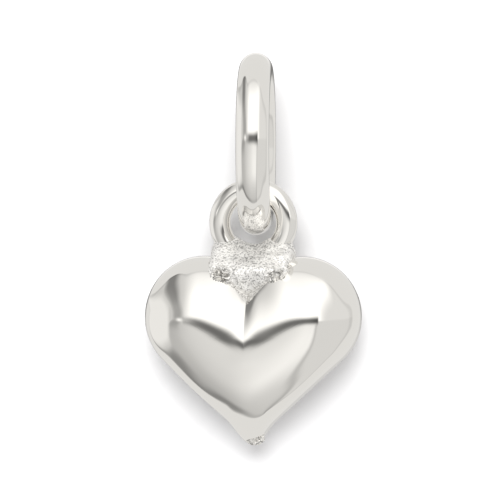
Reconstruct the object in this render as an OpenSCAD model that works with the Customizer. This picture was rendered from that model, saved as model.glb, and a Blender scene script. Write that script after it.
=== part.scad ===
// Small puffed heart charm hanging from a round jump ring.
// X runs across the heart, Y from its front to its back, Z up.
// The origin is inside the top of the jump ring, where a chain carries it.

/* [Jump ring] */
// Outer diameter of the jump ring
ring_od = 6.64; // [6:0.02:8]
// Diameter of the jump ring's wire
ring_wire = 1.2; // [0.9:0.02:1.24]
// Turn of the ring about Z, away from square to the heart
ring_turn = 6; // [0:1:8]

/* [Eye] */
// Outer diameter of the eye on the heart
eye_od = 3.24; // [3.2:0.02:3.6]
// Diameter of the eye's wire
eye_wire = 0.78; // [0.7:0.02:0.8]
// Gap between the top of the eye's hole and the ring's wire
hang_gap = 0.06; // [0.04:0.01:0.1]
// How far the heart hangs to the left of the jump ring's middle
drop_shift = 0.1; // [0:0.01:0.13]

/* [Heart] */
// Width of the heart over both lobes
heart_w = 7.94; // [7.84:0.02:8.1]
// Height of the heart from the lobes' tops to the tip
heart_h = 6.86; // [6.8:0.01:7]
// Thickness of the heart from front to back
heart_t = 4.9; // [4.6:0.05:5]
// Radius of each lobe in the front view
lobe_r = 2.17; // [2.12:0.01:2.24]
// Slope of the straight flanks below the horizontal
flank_slope = 42.8; // [42:0.2:43.6]
// Radius of the tip in the front view
tip_r = 0.4; // [0.36:0.01:0.46]
// Radius of the hollow curve between flank and tip
waist_r = 2.6; // [2.2:0.1:3]
// Length of the crease from the cleft towards the middle
crease_len = 2.56; // [2.48:0.02:2.64]
// Distance between the crowns of the two lobes
crown_gap = 5.08; // [4.8:0.02:5.2]
// Thickness of the hollow heart's metal
wall = 0.3; // [0.25:0.01:0.35]

/* [Solder] */
// Height of the cleft's bottom below the eye's centre
cleft_below_eye = 2.16; // [2.1:0.01:2.2]
// Radius of the solder where it runs up the eye and over the lobes
web_r = 0.42; // [0.36:0.01:0.45]
// Radius of the small cast nub at the tip
nub_r = 0.3; // [0.25:0.01:0.32]

/* [Hidden] */

// Heights of the stacked pieces, downwards from the origin
ring_wire_r = ring_wire / 2;
ring_mid_r = ring_od / 2 - ring_wire_r;
ring_z = ring_wire - ring_od / 2;
pivot_z = ring_z - ring_mid_r;
eye_wire_r = eye_wire / 2;
eye_hole_r = eye_od / 2 - eye_wire;
eye_mid_r = eye_hole_r + eye_wire_r;
eye_reach = eye_hole_r - ring_wire_r - hang_gap;
eye_z = pivot_z - sqrt(eye_reach ^ 2 - drop_shift ^ 2);
cleft_z = eye_z - cleft_below_eye;

// Front view of the heart: two lobes that cross just under the cleft, straight flanks, a waist
// and a tip
cleft_fill = 0.03;
lobe_x = heart_w / 2 - lobe_r;
lobe_z = cleft_z - cleft_fill - sqrt(lobe_r ^ 2 - lobe_x ^ 2);
tip_z = lobe_z + lobe_r - heart_h + tip_r;

// The crown of each lobe stands outwards from and above its centre in the front view, and a
// ridge runs down from it to the crease's lower end
crown_rise = 0.14;
crown = [crown_gap / 2, lobe_z + crown_rise];
ridge_slope = atan2(crown[1] - cleft_z + crease_len, crown[0]);
// Powers with which the lobes' centres and the flanks' slope change from outline to crown
crown_drift = 2.05;
flank_ease = 3.25;
// Profile from outline to crown, and how much lower the surface is at the heart's top and tip
fullness = 0.76;
droop = 0.15;
droop_from = cleft_z - 2.56;
droop_reach = 3.4;

// Towards the middle of the front the tip's circle grows by up to this and sinks a little, and
// the waist fades out
tip_growth = 2.08;
tip_haste = 3.2;
tip_sink = 0.4;
tip_soft = 0.12;
tip_closes = 2;
waist_ends_at = 0.45;
waist_least = 0.004;
// The hollow's cleft lies this many wall thicknesses under the outside's
inner_cleft = 1.3;

// Segments in each stretch of half a level curve: cleft slope, lobe, flank, waist, tip
OUTER_STEPS = [3, 20, 3, 4, 6];
INNER_STEPS = [2, 9, 2, 2, 3];
OUTER_LEVELS = 12;
INNER_LEVELS = 6;
// The last level stays this share of a quarter turn from the ridge
CORE = 0.06;

// How far below the lobe's centre a circle lies that touches both flanks
function touch_drop(flank_r, tip, centre_x, slope) =
    (flank_r + centre_x * sin(slope) - tip) / cos(slope);
// The outline's tip reaches this much lower than such a circle, and so makes the waist
waist_reach = lobe_z - touch_drop(lobe_r, tip_r, lobe_x, flank_slope) - tip_z;

function arc_points(c, r, from, to, steps) =
    [for (i = [1:steps]) let (a = from + (to - from) * i / steps) c + r * [cos(a), sin(a)]];
function line_points(p, q, steps) = [for (i = [1:steps]) p + (q - p) * i / steps];

// Half a level curve in X and Z, from the crease over a lobe to the tip. out is 1 at the outline
// and 0 at the ridge, and up is the level's height as a share of the half thickness.
function level_curve(out, up, inset, steps) =
    let (
        soft = sqrt(up ^ 2 + tip_soft ^ 2) - tip_soft,
        closing = 1 - up ^ tip_closes,
        r = (lobe_r - inset) * out,
        start = [lobe_x, lobe_z],
        lobe = start + (crown - start) * (1 - out) ^ crown_drift,
        slope = ridge_slope + (flank_slope - ridge_slope) * (1 - (1 - out) ^ flank_ease),
        flank_out = [sin(slope), -cos(slope)],
        flank_down = [-cos(slope), -sin(slope)],
        crease = [0, cleft_z - crease_len * (1 - out) - inset * inner_cleft * out],
        to_lobe = lobe - crease,
        rise = atan2(to_lobe[1], to_lobe[0]) + asin(r / norm(to_lobe)),
        tip = (tip_r + tip_growth * (1 - (1 - soft) ^ tip_haste)) * closing,
        fade = inset > 0 ? 0 : max(0, 1 - soft / waist_ends_at) ^ 2,
        sink = tip_sink * soft * closing + waist_reach * fade + waist_least,
        tip_c = [0, lobe[1] - touch_drop(r, tip, lobe[0], slope) - sink],
        // The waist's circle touches the flank and the tip's circle from outside
        from_tip = lobe + flank_out * (r + waist_r) - tip_c,
        along = from_tip * flank_down,
        slack = along ^ 2 - from_tip * from_tip + (waist_r + tip) ^ 2,
        waist_c = tip_c + from_tip - flank_down * (along + sqrt(slack)),
        to_tip = tip_c - waist_c,
        waist_end = atan2(to_tip[1], to_tip[0]) + (to_tip[1] < 0 ? 360 : 0)
    )
    concat(
        [crease],
        line_points(crease, lobe + r * [cos(rise + 90), sin(rise + 90)], steps[0]),
        arc_points(lobe, r, rise + 90, slope - 90, steps[1]),
        line_points(lobe + r * flank_out, waist_c - waist_r * flank_out, steps[2]),
        arc_points(waist_c, waist_r, slope + 90, waist_end, steps[3]),
        arc_points(tip_c, tip, waist_end - 180, -90, steps[4])
    );

// A point of the level at depth y, nearer to the middle plane where the surface droops
function drooped(x, y, z) = [x, y * (1 - droop * ((z - droop_from) / droop_reach) ^ 2), z];
// The whole level at depth y, from the crease down the right side and up the left
function whole_level(half, y) = concat(
    [for (p = half) drooped(p[0], y, p[1])],
    [for (i = [len(half) - 2:-1:1]) drooped(-half[i][0], y, half[i][1])]
);

// Triangles across the narrow V that the last level leaves open, for the right side
function cap_faces(half) = [for (i = [0:half / 2 - 1])
    each [[i, i + 1, half - i], if (i + 1 < half - i - 1) [i + 1, half - i - 1, half - i]]];

// A puffed heart: level curves from the front's ridge out to the outline and back to the rear's
module puff(inset, levels, steps) {
    half_t = heart_t / 2 - inset;
    turns = [for (i = [-levels:levels]) 90 * (1 - CORE) * i / levels];
    rings = [for (a = turns) let (up = abs(sin(a)), y = half_t * up ^ fullness)
        whole_level(level_curve(cos(a), up, inset, steps), a < 0 ? -y : y)];
    around = len(rings[0]);
    last = len(rings) - 1;
    sides = [for (j = [0:last - 1], i = [0:around - 1])
        let (a = j * around + i, b = j * around + (i + 1) % around)
        each [[a, b + around, b], [a, a + around, b + around]]];
    caps = [for (end = [0, last], side = [1, -1], face = cap_faces(around / 2))
        let (f = [for (k = face) end * around + (side * k + around) % around])
        (side < 0) != (end > 0) ? [f[0], f[2], f[1]] : f];
    polyhedron([for (ring = rings) each ring], concat(sides, caps));
}

module torus(mid_r, wire_r) {
    rotate_extrude($fn = 96) translate([mid_r, 0]) circle(wire_r, $fn = 48);
}

// Round wire ring that stands along Y, turned by ring_turn
module jump_ring() {
    color("silver")
        rotate([0, 0, ring_turn])
            translate([0, 0, ring_z])
                rotate([0, 90, 0])
                    torus(ring_mid_r, ring_wire_r);
}

// Round wire loop, open below where it ends inside the solder
module eye() {
    foot_z = -0.88 * eye_mid_r;
    translate([0, 0, eye_z])
        difference() {
            rotate([90, 0, 0]) torus(eye_mid_r, eye_wire_r);
            translate([-eye_od, -eye_od, foot_z - eye_od]) cube([2 * eye_od, 2 * eye_od, eye_od]);
        }
}

// Solder that runs from the eye's lower half over both lobes, in front and behind
module web() {
    hole_lip = 0.04;
    shoulder_x = 0.9 * eye_mid_r;
    shoulder_z = eye_z - 0.76 * eye_mid_r;
    foot = [1.12, 1.24, cleft_z + 0.32];
    middle = [0, 1.02, cleft_z - 0.16];
    difference() {
        hull() {
            for (x = [-1, 1]) {
                translate([x * shoulder_x, 0, shoulder_z]) sphere(web_r, $fn = 20);
                for (y = [-1, 1])
                    translate([x * foot[0], y * foot[1], foot[2]]) sphere(web_r, $fn = 20);
            }
            for (y = [-1, 1])
                translate([0, y * middle[1], middle[2]]) sphere(web_r, $fn = 20);
        }
        translate([0, 0, eye_z])
            rotate([90, 0, 0])
                cylinder(h = 2 * heart_t, r = eye_hole_r - hole_lip, center = true, $fn = 48);
    }
}

// Small rough nub left on the front of the tip
module nub() {
    beside = 0.13;
    in_front = -0.24;
    translate([beside, in_front, tip_z - tip_r / 3]) sphere(nub_r, $fn = 32);
}

// Hollow puffed heart with the eye soldered into its cleft
module heart() {
    translate([-drop_shift, 0, 0]) {
        color("silver") {
            difference() {
                puff(0, OUTER_LEVELS, OUTER_STEPS);
                puff(wall, INNER_LEVELS, INNER_STEPS);
            }
            eye();
            nub();
        }
        color("gainsboro") web();
    }
}

jump_ring();
heart();
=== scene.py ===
"""Looks of a small puffed silver heart charm on its jump ring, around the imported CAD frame.

Sizes are in millimetres and turned to metres where a mesh is made. X runs across the heart,
Y from its front to its back, Z up, as in the CAD.
"""

from math import asin, atan2, cos, exp, hypot, pi, radians, sin, sqrt

import bmesh
import bpy
import numpy as np
from mathutils import Matrix, Vector, noise
from mathutils.bvhtree import BVHTree


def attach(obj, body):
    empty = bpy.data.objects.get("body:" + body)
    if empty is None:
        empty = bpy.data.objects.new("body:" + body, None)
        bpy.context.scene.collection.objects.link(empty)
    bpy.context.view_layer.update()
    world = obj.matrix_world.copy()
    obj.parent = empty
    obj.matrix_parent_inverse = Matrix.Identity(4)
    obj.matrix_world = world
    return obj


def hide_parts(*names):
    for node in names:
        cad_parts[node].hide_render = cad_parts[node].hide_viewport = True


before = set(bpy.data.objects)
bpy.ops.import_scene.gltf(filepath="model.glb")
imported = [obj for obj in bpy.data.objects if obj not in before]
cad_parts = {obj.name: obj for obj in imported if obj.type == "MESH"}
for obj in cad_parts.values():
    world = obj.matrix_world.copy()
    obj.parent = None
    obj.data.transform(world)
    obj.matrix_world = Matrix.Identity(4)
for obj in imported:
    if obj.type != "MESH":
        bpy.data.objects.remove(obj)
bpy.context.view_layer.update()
MM = 0.001

# ---- Sizes shared with the CAD ----
RING_WIRE_R, RING_MID_R, RING_Z, RING_TURN = 0.6, 2.72, -2.12, 6.0
EYE_WIRE_R, EYE_MID_R = 0.39, 1.23
EYE_HOLE_R = EYE_MID_R - EYE_WIRE_R
HANG_GAP = 0.06  # between the top of the eye's hole and the ring's wire
DROP_SHIFT = 0.1  # how far the heart hangs to the left of the ring's middle
CLEFT_BELOW_EYE = 2.16
PIVOT_Z = RING_Z - RING_MID_R
EYE_Z = PIVOT_Z - sqrt((EYE_HOLE_R - RING_WIRE_R - HANG_GAP) ** 2 - DROP_SHIFT**2)
CLEFT_Z = EYE_Z - CLEFT_BELOW_EYE

HEART_W, HEART_H, HEART_T = 7.94, 6.86, 4.9
LOBE_R, TIP_R, WAIST_R = 2.17, 0.4, 2.6
FLANK_SLOPE = radians(42.8)
CLEFT_FILL = 0.03  # how far under the cleft the lobes' circles cross
LOBE_X = HEART_W / 2 - LOBE_R
LOBE_Z = CLEFT_Z - CLEFT_FILL - sqrt(LOBE_R**2 - LOBE_X**2)
TIP_Z = LOBE_Z + LOBE_R - HEART_H + TIP_R
# How softly the tip's circle starts to grow, and where and how nearly the waist fades out
TIP_SOFT, WAIST_ENDS_AT, WAIST_LEAST = 0.12, 0.45, 0.004
WEB_R, NUB_R = 0.42, 0.3

# ---- The heart's form, finer than in the CAD ----
# Where a crown stands in the front view, and how far the crease runs down from the cleft
CROWN_X, CROWN_UP, CREASE_RUN = 2.1, -0.08, 2.56
CROWN = np.array([CROWN_X, LOBE_Z + CROWN_UP])
RIDGE_SLOPE = atan2(CROWN[1] - CLEFT_Z + CREASE_RUN, CROWN[0])
# Powers with which the lobes' centres and the flanks' slope change from outline to ridge
LOBE_DRIFT, SLOPE_EASE = 3.94, 2.732
# How far the tip's circle grows, how soon, how far it sinks, and how late it closes at the ridge
TIP_GROWTH, TIP_HASTE, TIP_SINK, TIP_CLOSES = 0.9, 2.3, 0.02, 3.2
# How far the flanks' level curves bulge, the power that says at which levels, and how low down
BULGE, BULGE_POWER, BULGE_LOW = 0.155, 2.749, 1.586
# The profile from outline to ridge: its powers above, beside and below the crown, the shares of
# a level curve's upper and lower side at which they start and stop changing, and its flat top
POWER_UPPER, POWER_SIDE, POWER_LOWER = 0.369, 0.504, 0.375
SIDE_FROM, SIDE_TO = 0.3, 0.5
FLAT_TOP = 0.198
# The share by which the surface is lower this far above or below the height where it is fullest
FALL, FALL_FROM, FALL_REACH = 0.155, -9.975, 3.4

ARC_STEPS = 90
UPPER_STEPS, LOWER_STEPS = 96, 112  # in the upper and lower side of half a level curve
FOLD = radians(30)  # where a lobe's arc is split between those two sides
LEVELS = 96
SEAM_TURNS, LEVELS_FROM = [0.0, 0.0016, 0.004], 0.012  # fine rows beside the seam's groove
SEAM_DEPTH = 0.012

CELL = 0.04  # spacing of the height map that the polish is worked out on
MARGIN_X, MARGIN_Z = 1, 2  # how far that map goes on beyond the heart
SOFTEN = 0.36  # how far polishing has softened the ridges
POLISH_FROM, POLISH_OVER = 0.45, 0.4  # shares of the half thickness over which it sets in
# The share of its sharpness that the crease keeps, how far out that goes, and from what depth below
# the cleft, over what height, it sets in
CREASE_KEEPS, CREASE_REACH, CREASE_BELOW, CREASE_OVER = 0.9, 0.4, 3.1, 0.5
# How much shallower the crease is near the cleft, with the same measures
FILL, FILL_REACH, FILL_BELOW, FILL_OVER = 0.19, 0.55, 1.95, 1.4

# ---- The solder and the nub ----
WEB_FOOT = (1.12, 1.24, CLEFT_Z + 0.32)
WEB_MIDDLE = (0.0, 0.96, CLEFT_Z - 0.16)
WEB_SHOULDER = (0.9 * EYE_MID_R, 0.0, EYE_Z - 0.76 * EYE_MID_R)
WEB_VOXEL = 0.03
# How far the solder stands into the eye's hole, how unevenly, and in how many waves per millimetre
HOLE_LIP, LIP_UNEVEN, LIP_WAVES = 0.04, 0.02, 9.0
# Waves per millimetre, height and shift of the solder's lumps, crumbs and sand grains
RELIEF = [(2.6, 0.05, (0, 0, 0)), (7.0, 0.014, (3, 1, 7)), (19.0, 0.009, (9, 4, 2))]
RELIEF_SINKS = 0.02
# Waves per millimetre and height of the crinkles, how high their crests lie, and how steep they are
CRINKLE_WAVES, CRINKLE_HEIGHT, CRINKLE_CREST, CRINKLE_STEEP = 3.8, 0.22, 0.6, 3.0
# Where the solder stands in glossy crinkled lumps, on each side of the cleft, in front and behind
LUMPS = [(x - DROP_SHIFT, y, z) for y in (-1.5, 1.5) for x, z in ((-0.95, -6.92), (1.1, -6.98))]
LUMP_R = 0.42
NUB_AT = (0.13 - DROP_SHIFT, -0.38, TIP_Z - TIP_R / 3)
NUB_WIDTH = 1.25
# Waves across the nub's radius and depth of its ridges and grains, and how broad the ridges are
NUB_RIDGES, NUB_GROOVES, NUB_GRAINS, NUB_PITS, NUB_BROAD = 2.3, 0.8, 9.0, 0.05, 0.1

# ---- Camera, backdrop and lamp ----
CAMERA_AZIMUTH, CAMERA_ELEVATION = 9.0, 2.4
LENS, SENSOR = 300.0, 36.0
PIXELS, PIXELS_PER_MM = 500, 27.4
AXIS_PIXEL_X = 256.0  # the jump ring's axis in the picture
RING_TOP_PIXEL_Y, RING_TOP_Z = 53.0, 1.2

WALL_Y, WALL_Z, WALL_LEAN = 2.6, -9.0, 0.12  # close behind the heart, and further off higher up
WALL_TURN = 5.0  # degrees, towards the camera
WALL_TOP, FLOOR_Z, FLOOR_FRONT, SWEEP_HALF_WIDTH = 400.0, -56.0, -600.0, 600.0
CORNER_R, CORNER_STEPS = 20.0, 24

LAMP_FROM, LAMP_SIZE, LAMP_WATTS = Vector((16, -168, 48)), 0.07, 0.257

# ---- Colours ----
SILVER = (0.93, 0.92, 0.9, 1.0)
PAPER_TINT = (0.995, 0.995, 1.01)
STUDIO_TINT = (1.02, 1.006, 0.975)
CARD_TONE = 0.765  # of the studio's right-hand card, and of the table all round behind

# ---- Studio, over mirror-ball coordinates: u to the right and v upwards ----
HORIZON = (0.02, 0.06)  # where the lower half meets the white top
EDGE_U, EDGE_LEAN = 0.287, 0.13  # the lower right-hand card's edge
STRIP_U, STRIP_HALF = -0.455, 0.09  # the dark strip before the left-hand card
GAP_FROM, GAP_TO, GAP_V, GAP_HALF, GAP_WIDENS = -0.36, 0.328, 0.05, 0.056, 0.012
RIM_R, RIM_LINE = 0.707, 0.022  # the table's rim, and the width of the dark line along it

# ---- Textures, in waves or cells per metre ----
HAZE, HAIRLINES, GRAINS, PATCHES, SWIRLS, FOLD_SHADE_CELLS = 900.0, 9000.0, 15000.0, 1700.0, 5000.0, 3600.0
SWIRL_SIZE = 0.2


# ---- Numbers ----
def mix(a, b, share):
    return a + (b - a) * share


def soft_step(t):
    t = np.clip(t, 0, 1)
    return t * t * (3 - 2 * t)


def above(z, below_cleft, over):
    """0 at this depth below the cleft and deeper, and 1 from so much higher."""
    return soft_step((z - CLEFT_Z + below_cleft) / over)


def evenly(points, steps):
    """The polyline again as steps equal stretches."""
    along = np.append(0, np.cumsum(np.hypot(*np.diff(points, axis=0).T)))
    if along[-1] < 1e-9:
        return np.repeat(points[:1], steps + 1, axis=0)
    at = np.linspace(0, along[-1], steps + 1)
    return np.column_stack([np.interp(at, along, points[:, k]) for k in (0, 1)])


# ---- The heart's surface ----
def touch_drop(flank_r, tip, centre_x, slope):
    """How far below a lobe's centre a circle lies that touches both flanks."""
    return (flank_r + centre_x * sin(slope) - tip) / cos(slope)


# The outline's tip reaches this much lower than such a circle, and so makes the waist
WAIST_REACH = LOBE_Z - touch_drop(LOBE_R, TIP_R, LOBE_X, FLANK_SLOPE) - TIP_Z


def arc(centre, r, start, end):
    turn = start + (end - start) * np.arange(ARC_STEPS + 1) / ARC_STEPS
    return centre + r * np.column_stack([np.cos(turn), np.sin(turn)])


def bulged(low, out):
    """The lower side of a level curve, standing outwards a little between outline and ridge."""
    onwards = np.gradient(low, axis=0)
    outwards = np.column_stack([-onwards[:, 1], onwards[:, 0]])
    outwards /= np.hypot(*outwards.T)[:, None] + 1e-9
    share = np.sin(pi * np.linspace(0, 1, len(low)) ** BULGE_LOW) ** 2
    rise = 4 * BULGE * out**BULGE_POWER * (1 - out**BULGE_POWER)
    return low + outwards * (rise * share)[:, None]


def level_curve(out, up):
    """Half a level curve in X and Z, from the crease over a lobe to the tip, in even steps.

    out is 1 at the outline and 0 at the ridge, and up goes from 0 to 1.
    """
    soft = sqrt(up**2 + TIP_SOFT**2) - TIP_SOFT
    closing = 1 - up**TIP_CLOSES
    r = LOBE_R * out
    start = np.array([LOBE_X, LOBE_Z])
    lobe = start + (CROWN - start) * (1 - out) ** LOBE_DRIFT
    slope = RIDGE_SLOPE + (FLANK_SLOPE - RIDGE_SLOPE) * (1 - (1 - out) ** SLOPE_EASE)
    flank_out = np.array([sin(slope), -cos(slope)])
    flank_down = np.array([-cos(slope), -sin(slope)])
    crease = np.array([0, CLEFT_Z - CREASE_RUN * (1 - out)])
    to_lobe = lobe - crease
    rise = atan2(to_lobe[1], to_lobe[0]) + asin(r / hypot(*to_lobe))
    tip = (TIP_R + TIP_GROWTH * (1 - (1 - soft) ** TIP_HASTE)) * closing
    fade = max(0, 1 - soft / WAIST_ENDS_AT) ** 2
    sink = TIP_SINK * soft * closing + WAIST_REACH * fade + WAIST_LEAST
    tip_c = np.array([0, lobe[1] - touch_drop(r, tip, lobe[0], slope) - sink])
    # The waist's circle touches the flank and the tip's circle from outside
    from_tip = lobe + flank_out * (r + WAIST_R) - tip_c
    along = from_tip @ flank_down
    slack = along**2 - from_tip @ from_tip + (WAIST_R + tip) ** 2
    waist_c = tip_c + from_tip - flank_down * (along + sqrt(slack))
    to_tip = tip_c - waist_c
    waist_end = atan2(to_tip[1], to_tip[0]) % (2 * pi)
    high = evenly(np.vstack([crease, arc(lobe, r, rise + pi / 2, FOLD)]), UPPER_STEPS)
    low = np.vstack([
        arc(lobe, r, FOLD, slope - pi / 2),
        arc(waist_c, WAIST_R, slope + pi / 2, waist_end),
        arc(tip_c, tip, waist_end - pi, -pi / 2),
    ])
    return np.vstack([high[:-1], bulged(evenly(low, LOWER_STEPS), out)])


def profile_powers():
    """The profile's power at each point of a level curve."""
    upper = np.arange(UPPER_STEPS) / UPPER_STEPS
    lower = np.arange(LOWER_STEPS + 1) / LOWER_STEPS
    to_side = soft_step((upper - SIDE_FROM) / (1 - SIDE_FROM))
    half = np.append(
        mix(POWER_UPPER, POWER_SIDE, to_side),
        mix(POWER_SIDE, POWER_LOWER, soft_step(lower / SIDE_TO)),
    )
    return np.append(half, half[-2:0:-1])


def heart_points():
    """Rows round the heart, from the ridge in front to the outline and the ridge behind."""
    turns = np.append(SEAM_TURNS, np.linspace(LEVELS_FROM, pi / 2, LEVELS))
    rows = []
    for turn in turns:
        out, up = max(cos(turn), 0.0), sin(turn)
        half = level_curve(out, min(up, 1.0))
        if turn == 0.0:  # the seam between the two halves is a hairline groove
            inwards = half - np.array([0, LOBE_Z])
            half = half - inwards / np.hypot(*inwards.T)[:, None] * SEAM_DEPTH
        if turn == turns[-1]:  # the ridge: both sides of the curve lie on one line
            half[UPPER_STEPS:] = evenly(half[: UPPER_STEPS + 1][::-1], LOWER_STEPS)
        whole = np.vstack([half, (half * [-1, 1])[-2:0:-1]])
        level = max(1 - out**4 * (1 + FLAT_TOP**2) / (out**2 + FLAT_TOP**2), 0.0)
        y = HEART_T / 2 * level ** profile_powers()
        y = y * (1 - FALL * ((whole[:, 1] - FALL_FROM) / FALL_REACH) ** 2)
        rows.append(np.column_stack([whole[:, 0], y, whole[:, 1]]))
    rows = np.array(rows)
    return np.concatenate([rows[::-1] * [1, -1, 1], rows[1:]])


def blurred(heights, spread):
    """The height map softened over this many cells."""
    reach = int(3 * spread)
    weights = np.exp(-((np.arange(-reach, reach + 1) / spread) ** 2) / 2)
    weights /= weights.sum()
    for _ in range(2):
        heights = np.apply_along_axis(np.convolve, 0, heights, weights, "same").T
    return heights


def front_depths(rows, xs, zs):
    """How far the heart's front stands out at each point of a grid in X and Z."""
    whole = BVHTree.FromPolygons(
        [Vector(p) for p in rows.reshape(-1, 3)], grid_faces(*rows.shape[:2]), epsilon=1e-6
    )
    depth = np.zeros((len(xs), len(zs)))
    for i, x in enumerate(xs):
        for j, z in enumerate(zs):
            hit = whole.ray_cast(Vector((x, -HEART_T, z)), Vector((0, 1, 0)))[0]
            if hit:
                depth[i, j] = -hit.y
    return depth


def looked_up(heights, x, z):
    """The height map between its points, at places given in cells from its first point."""
    x = np.clip(x, 0, heights.shape[0] - 1.001)
    z = np.clip(z, 0, heights.shape[1] - 1.001)
    i, j = x.astype(int), z.astype(int)
    dx, dz = x - i, z - j
    below = mix(heights[i, j], heights[i + 1, j], dx)
    higher = mix(heights[i, j + 1], heights[i + 1, j + 1], dx)
    return mix(below, higher, dz)


def polished_heights(rows):
    """The rows with ridges softened, as a hand-polished stamping has them, and a crisp outline."""
    x, y, z = rows[:, :, 0], rows[:, :, 1], rows[:, :, 2]
    xs = np.arange(-HEART_W / 2 - MARGIN_X, HEART_W / 2 + MARGIN_X, CELL)
    zs = np.arange(TIP_Z - MARGIN_Z, CLEFT_Z + MARGIN_Z, CELL)
    depth = front_depths(rows, xs, zs)
    inside = (depth > 0).astype(float)
    soft = blurred(depth, SOFTEN / CELL) / np.maximum(blurred(inside, SOFTEN / CELL), 0.01)
    softened = looked_up(soft, (x - xs[0]) / CELL, (z - zs[0]) / CELL)
    share = soft_step((np.abs(y) / (HEART_T / 2) - POLISH_FROM) / POLISH_OVER)
    in_crease = np.exp(-((x / CREASE_REACH) ** 2)) * above(z, CREASE_BELOW, CREASE_OVER)
    share = share * (1 - CREASE_KEEPS * in_crease)
    filled = FILL * np.exp(-np.abs(x) / FILL_REACH) * above(z, FILL_BELOW, FILL_OVER)
    y += (np.sign(y) * softened - y) * share
    y += np.sign(y) * filled * share
    return rows


# ---- Meshes ----
def grid_faces(rows, around, closed_rows=False):
    last = rows if closed_rows else rows - 1
    return [
        (j * around + i, j * around + (i + 1) % around,
         (j + 1) % rows * around + (i + 1) % around, (j + 1) % rows * around + i)
        for j in range(last)
        for i in range(around)
    ]


def linked(name, mesh):
    piece = bpy.data.objects.new(name, mesh)
    bpy.context.scene.collection.objects.link(piece)
    return piece


def mesh_object(name, points, faces):
    mesh = bpy.data.meshes.new(name)
    mesh.from_pydata([tuple(p) for p in np.asarray(points) * MM], [], faces)
    mesh.validate()
    return linked(name, mesh)


def built(name, bm):
    """The object with the mesh that was built in bm."""
    mesh = bpy.data.meshes.new(name)
    bm.to_mesh(mesh)
    bm.free()
    return linked(name, mesh)


def tidy(piece, merge=1e-7):
    """Merges points that lie on each other, turns faces outwards and shades smooth."""
    bm = bmesh.new()
    bm.from_mesh(piece.data)
    bmesh.ops.remove_doubles(bm, verts=bm.verts, dist=merge)
    bmesh.ops.recalc_face_normals(bm, faces=bm.faces)
    for face in bm.faces:
        face.smooth = True
    bm.to_mesh(piece.data)
    bm.free()
    return piece


def torus(name, mid_r, wire_r, centre, turn, rows, around):
    """A ring whose plane stands upright, turned from X by this many degrees."""
    upwards = np.array([0, 0, 1])
    across = np.array([cos(radians(turn)), sin(radians(turn)), 0])
    side = np.cross(across, upwards) * wire_r
    points = []
    for j in range(rows):
        big = 2 * pi * j / rows
        outwards = across * cos(big) + upwards * sin(big)
        for i in range(around):
            small = 2 * pi * i / around
            points.append(centre + outwards * (mid_r + wire_r * cos(small)) + side * sin(small))
    return tidy(mesh_object(name, points, grid_faces(rows, around, closed_rows=True)))


# ---- Nodes ----
class Wire:
    """A value in a node tree. Arithmetic on it adds Math nodes."""

    def __init__(self, tree, socket):
        self.tree, self.socket = tree, socket

    def math(self, operation, *others):
        node = self.tree.nodes.new("ShaderNodeMath")
        node.operation = operation
        for slot, value in zip(node.inputs, (self, *others)):
            feed(self.tree, value, slot)
        return Wire(self.tree, node.outputs[0])

    def __add__(self, other):
        return self.math("ADD", other)

    __radd__ = __add__

    def __mul__(self, other):
        return self.math("MULTIPLY", other)

    __rmul__ = __mul__

    def __sub__(self, other):
        return self.math("SUBTRACT", other)

    def __neg__(self):
        return self * -1.0

    def __rsub__(self, other):
        return -self + other

    def __truediv__(self, other):
        return self.math("DIVIDE", other)

    def __pow__(self, power):
        return self.math("POWER", power)

    def __abs__(self):
        return self.math("ABSOLUTE")

    def smooth(self, low, high):
        """0 at low, 1 at high, and a soft step between."""
        node = self.tree.nodes.new("ShaderNodeMapRange")
        node.interpolation_type = "SMOOTHSTEP"
        feed(self.tree, self, node.inputs["Value"])
        feed(self.tree, low, node.inputs["From Min"])
        feed(self.tree, high, node.inputs["From Max"])
        return Wire(self.tree, node.outputs["Result"])

    def between(self, low, high, soft):
        """1 from low to high and 0 outside, with soft edges."""
        return self.smooth(low - soft, low + soft) * (1.0 - self.smooth(high - soft, high + soft))

    def peak(self, at, width):
        """1 at this value, falling to nothing over about twice the width to each side."""
        far = (self - at) / width
        return (-(far * far)).math("EXPONENT")


def feed(tree, value, socket):
    if isinstance(value, Wire):
        tree.links.new(value.socket, socket)
    else:
        socket.default_value = value


def tinted(tree, tone, tint):
    """The tone as a colour with this tint."""
    colour = tree.nodes.new("ShaderNodeCombineColor")
    for channel, part in zip(("Red", "Green", "Blue"), tint):
        feed(tree, tone * part, colour.inputs[channel])
    return colour.outputs["Color"]


def vector_math(tree, operation, vector, *others):
    node = tree.nodes.new("ShaderNodeVectorMath")
    node.operation = operation
    tree.links.new(vector, node.inputs[0])
    for slot, other in zip(node.inputs[1:], others):
        slot.default_value = other
    return node


# ---- Camera ----
def view_axes(azimuth, elevation):
    a, e = radians(azimuth), radians(elevation)
    right = Vector((cos(a), sin(a), 0))
    back = Vector((sin(a) * cos(e), -cos(a) * cos(e), sin(e)))
    return right, back.cross(right), back


RIGHT, UPWARDS, BACK = view_axes(CAMERA_AZIMUTH, CAMERA_ELEVATION)
camera = linked("camera", bpy.data.cameras.new("camera"))
camera.data.lens, camera.data.sensor_width = LENS, SENSOR
camera.data.clip_start, camera.data.clip_end = 0.001, 10.0
middle_z = RING_TOP_Z - (PIXELS / 2 - RING_TOP_PIXEL_Y) / PIXELS_PER_MM
target = RIGHT * ((PIXELS / 2 - AXIS_PIXEL_X) / PIXELS_PER_MM) + Vector((0, 0, middle_z))
distance = PIXELS / PIXELS_PER_MM * LENS / SENSOR
camera.location = (target + BACK * distance) * MM
camera.rotation_euler = BACK.to_track_quat("Z", "Y").to_euler()
bpy.context.scene.camera = camera


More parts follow.
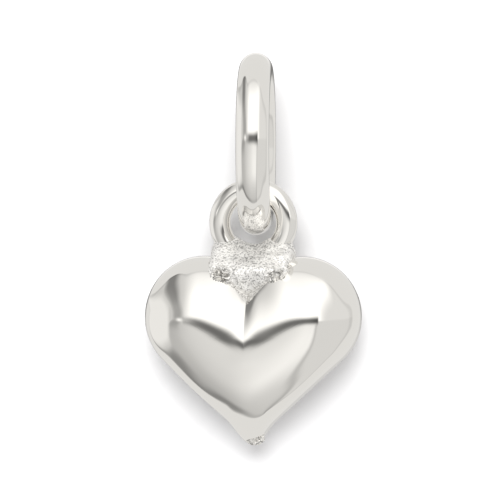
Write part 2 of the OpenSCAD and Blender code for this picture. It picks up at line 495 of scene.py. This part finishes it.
# ---- Studio: a tent of soft white cards round the charm, with one dark gap ----
def tent_top(u, v):
    """The white top, greyer high up and at both sides."""
    white, high, left = 1.25, 0.80, 0.66
    tone = mix(white, high, v.smooth(0.42, 0.72))
    tone = mix(left, tone, u.smooth(-0.40, -0.16))
    return mix(tone, CARD_TONE, u.smooth(0.31, 0.47))


def tent_low(u, v):
    """The lower half, darker downwards and to the left, with the right-hand card's edge."""
    plain, middle, bottom, card = 0.80, 0.84, 0.54, 0.70
    left_share, glow, edge_line = 0.62, 0.14, 0.28
    tone = mix(plain, middle, v.between(-0.42, -0.12, 0.1))
    tone = mix(tone, bottom, v.smooth(-0.3, -0.7))
    tone = tone * mix(left_share, 1.0, u.smooth(-0.62, -0.02))
    tone = tone * (1.0 + glow * u.smooth(-0.12, 0.1) * v.smooth(-0.5, -0.3))
    beside = u - (EDGE_U + EDGE_LEAN * v.math("MINIMUM", 0.0))
    tone = mix(tone, card, beside.smooth(-0.01, 0.02))
    return tone * (1.0 - edge_line * beside.peak(0.0, 0.025) * v.smooth(0.02, -0.06))


def with_left_card(tone, u, v):
    """The left-hand card, and the dark strip before it, which isn't straight."""
    dark_low, dark_high, side, card = 0.32, 0.12, 0.62, 0.86
    strip = u - STRIP_U + 0.08 * v.smooth(0.15, 0.45)
    strip = strip + 0.09 * v.smooth(0.08, -0.06) * (1.0 - 0.5 * v.smooth(-0.15, -0.35))
    dark = strip.between(-STRIP_HALF, STRIP_HALF, 0.06) * mix(0.12, 0.8, v.smooth(-0.16, 0.02))
    tone = mix(tone, mix(dark_low, dark_high, v.smooth(0.25, 0.5)), dark)
    tone = mix(tone, side, strip.smooth(-STRIP_HALF, -0.13))
    return mix(tone, card, u.between(-0.97, -0.64, 0.04) * v.between(-0.32, 0.34, 0.08))


def with_gap(tone, u, v):
    """The dark gap in front, narrow and light at its left end, with a white spot before that."""
    dark_left, dark_right, white = 0.13, 0.05, 1.02
    far = ((v - GAP_V) / (GAP_HALF + GAP_WIDENS * u.smooth(0.05, 0.34))) ** 2.0
    gap = (-(far**1.4)).math("EXPONENT") * u.between(GAP_FROM, GAP_TO, 0.02)
    strength = mix(0.4, 0.97, u.smooth(-0.37, -0.14))
    tone = mix(tone, mix(dark_left, dark_right, u.smooth(0.1, 0.34)), gap * strength)
    return mix(tone, white, u.peak(-0.42, 0.06) * v.peak(0.055, 0.03))


def with_table(tone, u, v):
    """The table all round behind, beyond a rim that a thin dark line runs along."""
    right = u.smooth(0.5, 0.85) * (1.0 - abs(v).smooth(0.1, 0.65))
    left = u.smooth(-0.48, -0.85) * (1.0 - abs(v + 0.05).smooth(0.12, 0.65))
    upper_left = u.smooth(-0.3, -0.5) * v.smooth(0.12, 0.3) * v.smooth(0.85, 0.6)
    lower = v.smooth(-0.45, -0.66)
    rim = RIM_R + 0.16 * right + 0.24 * left + 0.15 * upper_left - 0.05 * lower
    beyond = (u * u + v * v).math("SQRT") - rim
    line = mix(0.14, 0.45, u.smooth(0.05, -0.3) * v.smooth(-0.1, -0.4))
    tone = tone * (1.0 - line * beyond.peak(-0.02, RIM_LINE))
    return mix(tone, CARD_TONE, beyond.smooth(-0.01, 0.01))


def studio_tone(u, v):
    tone = mix(tent_low(u, v), tent_top(u, v), v.smooth(*HORIZON))
    for add in (with_left_card, with_gap, with_table):
        tone = add(tone, u, v)
    return tone


def make_world():
    """The studio as light from all sides. The camera itself sees plain white."""
    world = bpy.data.worlds.new("studio")
    bpy.context.scene.world = world
    world.use_nodes = True
    tree = world.node_tree
    tree.nodes.clear()
    place = tree.nodes.new("ShaderNodeTexCoord").outputs["Generated"]
    right, up, back = (
        Wire(tree, vector_math(tree, "DOT_PRODUCT", place, axis).outputs["Value"])
        for axis in (RIGHT, UPWARDS, BACK)
    )
    spread = (2.0 * (1.0001 + back)).math("SQRT")
    tone = studio_tone(right / spread, up / spread)
    # Straight behind the charm the tent has a plainer gap under a white card
    rear_gap = 0.7 * up.peak(0.06, 0.09) * abs(right).smooth(0.62, 0.4)
    rear = mix(0.64, 1.0, up.smooth(0.02, 0.26)) * (1.0 - rear_gap)
    tone = mix(tone, rear, (-back).smooth(0.9, 0.97))
    seen = tree.nodes.new("ShaderNodeLightPath")
    white = tree.nodes.new("ShaderNodeMix")
    white.data_type = "RGBA"
    tree.links.new(seen.outputs["Is Camera Ray"], white.inputs["Factor"])
    tree.links.new(tinted(tree, tone, STUDIO_TINT), white.inputs["A"])
    white.inputs["B"].default_value = (1.0, 1.0, 1.0, 1.0)
    light = tree.nodes.new("ShaderNodeBackground")
    tree.links.new(white.outputs["Result"], light.inputs["Color"])
    out = tree.nodes.new("ShaderNodeOutputWorld")
    tree.links.new(light.outputs[0], out.inputs["Surface"])


make_world()
bpy.context.scene.view_settings.view_transform = "Standard"


# ---- Materials ----
def new_material(name):
    made = bpy.data.materials.new(name)
    made.use_nodes = True
    tree = made.node_tree
    return made, tree, tree.nodes["Principled BSDF"]


def texture(tree, kind, place, **values):
    node = tree.nodes.new("ShaderNodeTex" + kind)
    tree.links.new(place, node.inputs["Vector"])
    for name, value in values.items():
        node.inputs[name].default_value = value
    return node


def noise_over(tree, place, **values):
    return Wire(tree, texture(tree, "Noise", place, **values).outputs["Fac"])


def add_bump(tree, shader, height, strength, distance):
    bump = tree.nodes.new("ShaderNodeBump")
    bump.inputs["Distance"].default_value = distance
    feed(tree, strength, bump.inputs["Strength"])
    feed(tree, height, bump.inputs["Height"])
    tree.links.new(bump.outputs["Normal"], shader.inputs["Normal"])


def polished(name):
    """Mirror-polished silver with fine hairlines and a faint haze in patches."""
    made, tree, shader = new_material(name)
    place = tree.nodes.new("ShaderNodeTexCoord").outputs["Object"]
    haze = noise_over(tree, place, Scale=HAZE, Detail=4.0)
    hairlines = noise_over(tree, place, Scale=HAIRLINES, Detail=3.0)
    shader.inputs["Metallic"].default_value = 1.0
    shader.inputs["Base Color"].default_value = SILVER
    feed(tree, 0.015 + 0.05 * haze.smooth(0.45, 0.8), shader.inputs["Roughness"])
    add_bump(tree, shader, hairlines, strength=0.02, distance=0.01 * MM)
    return made


def nearness(tree, place, spot, r):
    """1 well within r of the spot, and 0 just beyond."""
    far = vector_math(tree, "DISTANCE", place, [c * MM for c in spot])
    return Wire(tree, far.outputs["Value"]).smooth(1.15 * r * MM, 0.75 * r * MM)


def painted_fold_shade(tree, place):
    """Thin crooked lines of painted shade and dark reflections, along the folds of crinkled metal.
    """
    swirl = texture(tree, "Noise", place, Scale=SWIRLS, Detail=2.0).outputs["Color"]
    bent = vector_math(tree, "MULTIPLY_ADD", swirl, [SWIRL_SIZE * MM] * 3)
    tree.links.new(place, bent.inputs[2])
    cells = texture(tree, "Voronoi", bent.outputs[0], Scale=FOLD_SHADE_CELLS)
    cells.feature = "DISTANCE_TO_EDGE"
    return Wire(tree, cells.outputs["Distance"]).smooth(0.1, 0.02)


def sandy(name, glossy_spots):
    """Unpolished cast silver: bright, frosted and grainy, with painted shade in the grain's hollows
    and along the glossy lumps' folds, and glossier in spots.
    """
    made, tree, shader = new_material(name)
    place = tree.nodes.new("ShaderNodeTexCoord").outputs["Object"]
    grain = noise_over(tree, place, Scale=GRAINS, Detail=3.0, Roughness=0.6)
    # Painted shade: the colour is darkened in the hollows of the grain's bump
    hollow_shade = noise_over(tree, place, Scale=GRAINS, Detail=1.0).smooth(0.53, 0.36)
    patches = noise_over(tree, place, Scale=PATCHES, Detail=3.0).smooth(0.56, 0.42)
    gloss = sum(nearness(tree, place, spot, LUMP_R) for spot in glossy_spots)
    frosted = 1.0 - gloss
    shade = 0.97 - 0.46 * hollow_shade * frosted - 0.2 * patches * frosted
    # Brighter at both sides and at the lower point
    parts = tree.nodes.new("ShaderNodeSeparateXYZ")
    tree.links.new(place, parts.inputs[0])
    across = abs(Wire(tree, parts.outputs["X"]) + DROP_SHIFT * MM) / MM
    height = Wire(tree, parts.outputs["Z"]) / MM
    lighter = 0.13 * across.smooth(0.4, 0.8) + 0.15 * height.smooth(CLEFT_Z, CLEFT_Z - 0.4)
    shade = shade + frosted * lighter
    # Painted shade and dark reflections along the glossy lumps' folds
    shade = shade * (1.0 - 0.6 * painted_fold_shade(tree, place) * gloss)
    tree.links.new(tinted(tree, shade, SILVER), shader.inputs["Base Color"])
    feed(tree, mix(1.0, 0.62, frosted), shader.inputs["Metallic"])
    feed(tree, mix(0.06, 0.3, frosted), shader.inputs["Roughness"])
    add_bump(tree, shader, grain, strength=mix(0.1, 0.8, frosted), distance=0.03 * MM)
    return made


def paper(name):
    """Matt white paper, seen from its front only, with a painted contact shadow: its colour is
    darker close to what lies on it.
    """
    made, tree, shader = new_material(name)
    contact_shadow_ao = tree.nodes.new("ShaderNodeAmbientOcclusion")
    contact_shadow_ao.inputs["Distance"].default_value = 5.0 * MM
    # Painted contact shadow: the paper's colour is darkened where the charm is near it
    shade = mix(0.58, 0.8, Wire(tree, contact_shadow_ao.outputs["AO"]))
    tree.links.new(tinted(tree, shade, PAPER_TINT), shader.inputs["Base Color"])
    shader.inputs["Roughness"].default_value = 1.0
    shader.inputs["Specular IOR Level"].default_value = 0.0
    side = tree.nodes.new("ShaderNodeNewGeometry")
    clear = tree.nodes.new("ShaderNodeBsdfTransparent")
    choose = tree.nodes.new("ShaderNodeMixShader")
    tree.links.new(side.outputs["Backfacing"], choose.inputs["Fac"])
    tree.links.new(shader.outputs[0], choose.inputs[1])
    tree.links.new(clear.outputs[0], choose.inputs[2])
    tree.links.new(choose.outputs[0], tree.nodes["Material Output"].inputs["Surface"])
    return made


SHINY = polished("polished_silver")
SAND = sandy("sandy_silver", [*LUMPS, NUB_AT])


# ---- Pieces ----
def dress(piece, body, material):
    piece.data.materials.append(material)
    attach(piece, body)


ring_at = np.array([0, 0, RING_Z])
ring = torus("ring_wire", RING_MID_R, RING_WIRE_R, ring_at, 90 + RING_TURN, 256, 72)
dress(ring, "ring", SHINY)
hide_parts("jump_ring")

rows = polished_heights(heart_points()) - [DROP_SHIFT, 0, 0]
heart = tidy(mesh_object("heart_shell", rows.reshape(-1, 3), grid_faces(*rows.shape[:2])))
dress(heart, "drop", SHINY)
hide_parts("heart")

eye_at = np.array([-DROP_SHIFT, 0, EYE_Z])
eye = torus("eye_wire", EYE_MID_R, EYE_WIRE_R, eye_at, 0.0, 192, 60)
dress(eye, "drop", SHINY)


def ball(bm, centre, r):
    where = Matrix.Translation(centre) @ Matrix.Diagonal((r, r, r, 1))
    bmesh.ops.create_icosphere(bm, subdivisions=3, radius=1.0, matrix=where)


def smooth_web():
    """The solder and cast metal that joins the eye to the lobes, as a smooth lump."""
    bm = bmesh.new()
    for side in (-1, 1):
        ball(bm, (side * WEB_SHOULDER[0], 0, WEB_SHOULDER[2]), WEB_R)
        for face in (-1, 1):
            ball(bm, (side * WEB_FOOT[0], face * WEB_FOOT[1], WEB_FOOT[2]), WEB_R)
            ball(bm, (0, face * WEB_MIDDLE[1], WEB_MIDDLE[2]), WEB_R)
    bmesh.ops.convex_hull(bm, input=bm.verts)
    web = built("solder", bm)
    remesh = web.modifiers.new("voxels", "REMESH")
    remesh.mode, remesh.voxel_size = "VOXEL", WEB_VOXEL
    graph = bpy.context.evaluated_depsgraph_get()
    mesh = bpy.data.meshes.new_from_object(web.evaluated_get(graph))
    web.modifiers.clear()
    web.data = mesh
    return web


def rough(point, normal):
    """The point moved by lumps, crumbs and sand grains, and by sharp crinkles on glossy lumps."""
    p = Vector(point)
    relief = sum(high * noise.noise(p * often + Vector(by)) for often, high, by in RELIEF)
    far = min((p - Vector((x + DROP_SHIFT, y, z))).length for x, y, z in LUMPS) / LUMP_R
    from_crest = abs(noise.noise(p * CRINKLE_WAVES + Vector((5, 2, 8))))
    crinkle = CRINKLE_HEIGHT * (CRINKLE_CREST - CRINKLE_STEEP * from_crest)
    return point + normal * (relief - RELIEF_SINKS + crinkle * exp(-(far**4)))


def make_web():
    """The web with its rough skin, which leaves the eye's hole open."""
    web = smooth_web()
    vertices = web.data.vertices
    points = np.array([rough(np.array(v.co), np.array(v.normal)) for v in vertices])
    away = points - [0, 0, EYE_Z]
    reach = np.hypot(away[:, 0], away[:, 2])
    waves = np.array([noise.noise(Vector(p) * LIP_WAVES) for p in points])
    outwards = np.maximum((EYE_HOLE_R - HOLE_LIP + LIP_UNEVEN * waves) / reach, 1.0)
    points[:, 0] = away[:, 0] * outwards - DROP_SHIFT
    points[:, 2] = away[:, 2] * outwards + EYE_Z
    vertices.foreach_set("co", (points * MM).astype(np.float32).ravel())
    web.data.update()
    web.data.polygons.foreach_set("use_smooth", [True] * len(web.data.polygons))
    return web


def make_nub():
    """The rough stub left on the front of the tip."""
    bm = bmesh.new()
    bmesh.ops.create_icosphere(bm, subdivisions=5, radius=1.0)
    for vert in bm.verts:
        p = vert.co.copy()
        ridges = NUB_BROAD - NUB_GROOVES * abs(noise.noise(p * NUB_RIDGES + Vector((4, 7, 1))))
        ridges = ridges + NUB_PITS * noise.noise(p * NUB_GRAINS)
        wide = Vector((p.x * NUB_WIDTH, p.y, p.z))
        vert.co = (Vector(NUB_AT) + wide * NUB_R * (1.0 + min(ridges, 0.0))) * MM
    for face in bm.faces:
        face.smooth = True
    return built("nub", bm)


dress(make_web(), "drop", SAND)
dress(make_nub(), "drop", SAND)


# ---- Floor, backdrop and lamp ----
def make_sweep():
    """A pale sheet that leans behind the charm and curves forward below it as the floor."""
    lean = atan2(WALL_LEAN, 1)
    straight_end = FLOOR_Z + CORNER_R * (1 - sin(lean))
    corner_y = WALL_Y + WALL_LEAN * (straight_end - WALL_Z) - CORNER_R * cos(lean)
    profile = [(WALL_Y + WALL_LEAN * (WALL_TOP - WALL_Z), WALL_TOP)]
    for k in range(CORNER_STEPS + 1):
        turn = mix(lean, pi / 2, k / CORNER_STEPS)
        profile.append((corner_y + CORNER_R * cos(turn), FLOOR_Z + CORNER_R * (1 - sin(turn))))
    profile.append((FLOOR_FRONT, FLOOR_Z))
    points = [(x, y, z) for y, z in profile for x in (-SWEEP_HALF_WIDTH, SWEEP_HALF_WIDTH)]
    faces = [(2 * k, 2 * k + 2, 2 * k + 3, 2 * k + 1) for k in range(len(profile) - 1)]
    turned = Matrix.Rotation(radians(WALL_TURN), 3, "Z")
    return mesh_object("sweep", [turned @ Vector(p) for p in points], faces)


sweep = make_sweep()
sweep.data.materials.append(paper("paper"))
sweep.visible_glossy = False
sweep.visible_shadow = False

lamp = linked("soft_box", bpy.data.lights.new("soft_box", "AREA"))
lamp.data.shape, lamp.data.size, lamp.data.energy = "DISK", LAMP_SIZE, LAMP_WATTS
lamp.location = LAMP_FROM * MM
lamp.rotation_euler = (LAMP_FROM - target).to_track_quat("Z", "Y").to_euler()
lamp.visible_glossy = False
lamp.visible_camera = False
